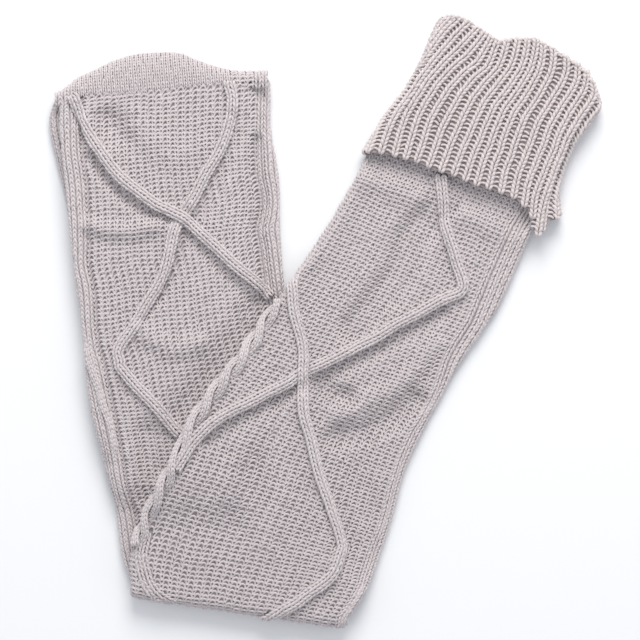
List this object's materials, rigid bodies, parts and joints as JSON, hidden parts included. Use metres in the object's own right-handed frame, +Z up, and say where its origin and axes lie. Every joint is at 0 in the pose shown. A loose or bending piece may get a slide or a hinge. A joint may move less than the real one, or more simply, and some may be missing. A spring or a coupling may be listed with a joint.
{
  "type": "folded over-the-knee sock",
  "caption": "Chunky cable-knit over-the-knee sock with a turned-down ribbed cuff, laid flat and folded in a V with its foot under the leg.",
  "frame": {"origin": "centre of the bounding box on the table plane", "axes": "+Z up from the table, +Y from the front fold towards the heel and the cuff, +X from the foot's side towards the cuff's side"},
  "size_m": [0.305, 0.3398, 0.0234],
  "materials": {
    "rib_knit": "matt greige wool-blend yarn in one-and-one ribs",
    "purl_knit": "matt greige wool-blend yarn in purl with raised knit cables",
    "plain_knit": "matt greige wool-blend yarn in plain knit"
  },
  "bodies": {
    "root": {"cuff": "rib_knit", "upper_leg": "purl_knit", "lower_leg": "purl_knit", "heel": "plain_knit", "foot": "plain_knit", "toe": "plain_knit"}
  },
  "joints": []
}
